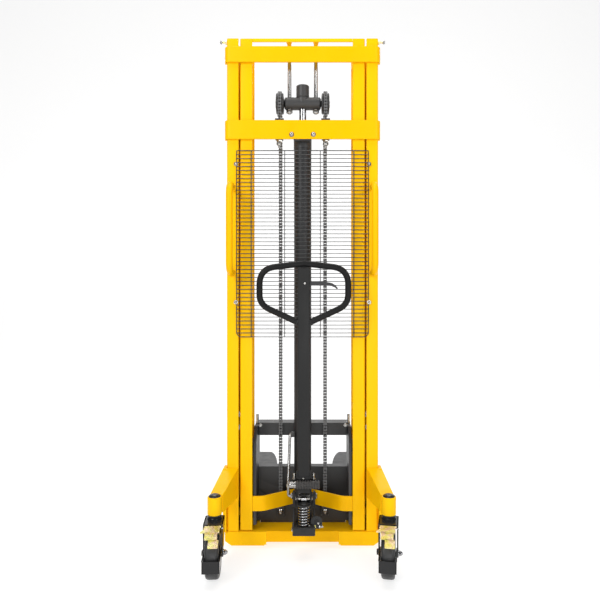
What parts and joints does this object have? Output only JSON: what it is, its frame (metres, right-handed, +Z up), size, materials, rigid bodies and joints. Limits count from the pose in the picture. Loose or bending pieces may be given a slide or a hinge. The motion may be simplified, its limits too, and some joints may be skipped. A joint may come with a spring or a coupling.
{
  "type": "walkie stacker",
  "caption": "Hand-pumped stacker: two-stage mast, chain-lifted fork carriage, pump with tiller and foot pedal, mesh guard, base legs with rollers and braked swivel casters.",
  "frame": {"origin": "on the floor, under the middle of the truck's box", "axes": "+Z up, forks towards +Y, +X to the right of an operator standing behind the mast"},
  "size_m": [0.7364, 1.4847, 2.08],
  "materials": {
    "yellow_paint": "gloss",
    "black_paint": "satin",
    "chrome": "polished",
    "zinc_steel": "satin",
    "gold_zinc": "satin",
    "pedal_rubber": "matte",
    "wheel_tread": "satin",
    "chain_steel": "satin",
    "roller_steel": "satin"
  },
  "bodies": {
    "chassis": {"base_frame": "yellow_paint", "base_leg_left": "yellow_paint", "base_leg_right": "yellow_paint", "outer_post_left": "yellow_paint", "outer_post_right": "yellow_paint", "grab_bar_left": "yellow_paint", "grab_bar_right": "yellow_paint", "caster_arm_left": "yellow_paint", "caster_arm_right": "yellow_paint", "chain_anchor_run_left": "chain_steel", "chain_anchor_run_right": "chain_steel", "top_cross_plate": "yellow_paint", "cylinder_cross_plate": "yellow_paint", "mesh_guard": "black_paint", "lift_cylinder": "black_paint", "oil_pipe": "zinc_steel", "pump_body": "black_paint", "tiller_pivot_pin": "chrome", "pump_spring": "chrome"},
    "ram": {"piston_rod": "chrome", "crosshead": "black_paint", "chain_load_run_left": "chain_steel", "chain_load_run_right": "chain_steel"},
    "inner_mast": {"inner_post_left": "yellow_paint", "inner_post_right": "yellow_paint", "guide_rod_left": "chrome", "guide_rod_right": "chrome", "inner_top_bar": "yellow_paint", "inner_crosspiece": "yellow_paint"},
    "carriage": {"carriage_heel_plate": "black_paint", "carriage_upper_bar": "black_paint", "carriage_side_left": "black_paint", "carriage_side_right": "black_paint", "fork_left": "black_paint", "fork_right": "black_paint"},
    "tiller": {"tiller": "black_paint", "handle_loop": "black_paint", "foot_pedal": "pedal_rubber"},
    "release_lever": {"release_lever": "black_paint"},
    "pump_roller": {"pump_roller": "chrome"},
    "pump_piston": {"pump_piston": "chrome"},
    "valve_lever": {"valve_lever": "black_paint"},
    "chain_wheel_left": {"chain_wheel_left": "black_paint"},
    "chain_wheel_right": {"chain_wheel_right": "black_paint"},
    "mast_roller_lower_left": {"mast_roller_lower_left": "roller_steel"},
    "mast_roller_lower_right": {"mast_roller_lower_right": "roller_steel"},
    "mast_roller_upper_left": {"mast_roller_upper_left": "roller_steel"},
    "mast_roller_upper_right": {"mast_roller_upper_right": "roller_steel"},
    "carriage_roller_lower_left": {"carriage_roller_lower_left": "roller_steel"},
    "carriage_roller_lower_right": {"carriage_roller_lower_right": "roller_steel"},
    "carriage_roller_upper_left": {"carriage_roller_upper_left": "roller_steel"},
    "carriage_roller_upper_right": {"carriage_roller_upper_right": "roller_steel"},
    "load_roller_left": {"load_roller_left": "wheel_tread"},
    "load_roller_right": {"load_roller_right": "wheel_tread"},
    "caster_yoke_left": {"caster_yoke_left": "black_paint"},
    "caster_yoke_right": {"caster_yoke_right": "black_paint"},
    "caster_wheel_left": {"caster_wheel_left": "wheel_tread"},
    "caster_wheel_right": {"caster_wheel_right": "wheel_tread"},
    "brake_pedal_left": {"brake_pedal_left": "gold_zinc"},
    "brake_pedal_right": {"brake_pedal_right": "gold_zinc"}
  },
  "joints": [
    {"name": "ram_lift", "type": "slide", "parent": "chassis", "child": "ram", "axis": [0, 0, 1], "range_m": [0, 1.4478], "deforming": ["chain_anchor_run_left", "chain_anchor_run_right"]},
    {"name": "mast_lift", "type": "slide", "parent": "chassis", "child": "inner_mast", "axis": [0, 0, 1], "range_m": [0, 1.3114]},
    {"name": "carriage_lift", "type": "slide", "parent": "ram", "child": "carriage", "axis": [0, 0, 1], "range_m": [0, 1.4478], "deforming": ["chain_load_run_left", "chain_load_run_right"]},
    {"name": "chain_wheel_left_turn", "type": "hinge", "parent": "ram", "child": "chain_wheel_left", "pos_m": [-0.0945, -0.3386, 1.8313], "axis": [1, 0, 0], "continuous": true},
    {"name": "mast_roller_lower_left_turn", "type": "hinge", "parent": "inner_mast", "child": "mast_roller_lower_left", "pos_m": [-0.278, -0.3416, 0.135], "axis": [1, 0, 0], "continuous": true},
    {"name": "mast_roller_upper_left_turn", "type": "hinge", "parent": "inner_mast", "child": "mast_roller_upper_left", "pos_m": [-0.278, -0.3416, 0.51], "axis": [1, 0, 0], "continuous": true},
    {"name": "carriage_roller_lower_left_turn", "type": "hinge", "parent": "carriage", "child": "carriage_roller_lower_left", "pos_m": [-0.223, -0.3416, 0.135], "axis": [1, 0, 0], "continuous": true},
    {"name": "carriage_roller_upper_left_turn", "type": "hinge", "parent": "carriage", "child": "carriage_roller_upper_left", "pos_m": [-0.223, -0.3416, 0.4], "axis": [1, 0, 0], "continuous": true},
    {"name": "load_roller_left_turn", "type": "hinge", "parent": "chassis", "child": "load_roller_left", "pos_m": [-0.235, 0.5684, 0.037], "axis": [1, 0, 0], "continuous": true},
    {"name": "caster_left_swivel", "type": "hinge", "parent": "chassis", "child": "caster_yoke_left", "pos_m": [-0.325, -0.5816, 0.203], "axis": [0, 0, 1], "continuous": true},
    {"name": "caster_wheel_left_turn", "type": "hinge", "parent": "caster_yoke_left", "child": "caster_wheel_left", "pos_m": [-0.32221, -0.6215, 0.08923], "axis": [0.9976, 0.0698, 0], "continuous": true},
    {"name": "brake_pedal_left_tip", "type": "hinge", "parent": "caster_yoke_left", "child": "brake_pedal_left", "pos_m": [-0.31998, -0.65343, 0.193], "axis": [0.9976, 0.0698, 0], "range_deg": [0, 8]},
    {"name": "chain_wheel_right_turn", "type": "hinge", "parent": "ram", "child": "chain_wheel_right", "pos_m": [0.0945, -0.3386, 1.8313], "axis": [1, 0, 0], "continuous": true},
    {"name": "mast_roller_lower_right_turn", "type": "hinge", "parent": "inner_mast", "child": "mast_roller_lower_right", "pos_m": [0.278, -0.3416, 0.135], "axis": [1, 0, 0], "continuous": true},
    {"name": "mast_roller_upper_right_turn", "type": "hinge", "parent": "inner_mast", "child": "mast_roller_upper_right", "pos_m": [0.278, -0.3416, 0.51], "axis": [1, 0, 0], "continuous": true},
    {"name": "carriage_roller_lower_right_turn", "type": "hinge", "parent": "carriage", "child": "carriage_roller_lower_right", "pos_m": [0.223, -0.3416, 0.135], "axis": [1, 0, 0], "continuous": true},
    {"name": "carriage_roller_upper_right_turn", "type": "hinge", "parent": "carriage", "child": "carriage_roller_upper_right", "pos_m": [0.223, -0.3416, 0.4], "axis": [1, 0, 0], "continuous": true},
    {"name": "load_roller_right_turn", "type": "hinge", "parent": "chassis", "child": "load_roller_right", "pos_m": [0.235, 0.5684, 0.037], "axis": [1, 0, 0], "continuous": true},
    {"name": "caster_right_swivel", "type": "hinge", "parent": "chassis", "child": "caster_yoke_right", "pos_m": [0.325, -0.5816, 0.203], "axis": [0, 0, 1], "continuous": true},
    {"name": "caster_wheel_right_turn", "type": "hinge", "parent": "caster_yoke_right", "child": "caster_wheel_right", "pos_m": [0.31805, -0.62099, 0.08923], "axis": [0.9848, -0.1736, 0], "continuous": true},
    {"name": "brake_pedal_right_tip", "type": "hinge", "parent": "caster_yoke_right", "child": "brake_pedal_right", "pos_m": [0.3125, -0.65251, 0.193], "axis": [0.9848, -0.1736, 0], "range_deg": [0, 8]},
    {"name": "tiller_swing", "type": "hinge", "parent": "chassis", "child": "tiller", "pos_m": [0.007, -0.4616, 0.24], "axis": [1, 0, 0], "range_deg": [0, 60], "stiffness_Nm_per_rad": 30, "springref_deg": -22.92},
    {"name": "pump_roller_turn", "type": "hinge", "parent": "tiller", "child": "pump_roller", "pos_m": [0.007, -0.4916, 0.24], "axis": [1, 0, 0], "continuous": true},
    {"name": "pump_stroke", "type": "slide", "parent": "chassis", "child": "pump_piston", "axis": [0, 0, -1], "range_m": [0, 0.0315], "deforming": ["pump_spring"]},
    {"name": "release_lever_pull", "type": "hinge", "parent": "tiller", "child": "release_lever", "pos_m": [0.011, -0.5116, 1.077], "axis": [0, -1, 0], "range_deg": [0, 14], "stiffness_Nm_per_rad": 2, "springref_deg": -11.46},
    {"name": "valve_turn", "type": "hinge", "parent": "chassis", "child": "valve_lever", "pos_m": [0.056, -0.49575, 0.151], "axis": [0, -1, 0], "range_deg": [0, 28.1]}
  ],
  "couplings": [
    {"joint": "mast_lift", "follows": "ram_lift", "ratio": 0.90572},
    {"joint": "carriage_lift", "follows": "ram_lift", "ratio": 1},
    {"joint": "chain_wheel_left_turn", "follows": "ram_lift", "rad_per_m": 22.222},
    {"joint": "mast_roller_lower_left_turn", "follows": "ram_lift", "rad_per_m": 22.93},
    {"joint": "mast_roller_upper_left_turn", "follows": "ram_lift", "rad_per_m": -22.93},
    {"joint": "carriage_roller_lower_left_turn", "follows": "ram_lift", "rad_per_m": 28.423},
    {"joint": "carriage_roller_upper_left_turn", "follows": "ram_lift", "rad_per_m": -28.423},
    {"joint": "chain_wheel_right_turn", "follows": "ram_lift", "rad_per_m": 22.222},
    {"joint": "mast_roller_lower_right_turn", "follows": "ram_lift", "rad_per_m": 22.93},
    {"joint": "mast_roller_upper_right_turn", "follows": "ram_lift", "rad_per_m": -22.93},
    {"joint": "carriage_roller_lower_right_turn", "follows": "ram_lift", "rad_per_m": 28.423},
    {"joint": "carriage_roller_upper_right_turn", "follows": "ram_lift", "rad_per_m": -28.423},
    {"joint": "pump_roller_turn", "follows": "tiller_swing", "ratio": -1},
    {"joint": "pump_stroke", "follows": "tiller_swing", "m_per_rad": 0.03},
    {"joint": "valve_turn", "follows": "release_lever_pull", "ratio": 2}
  ]
}
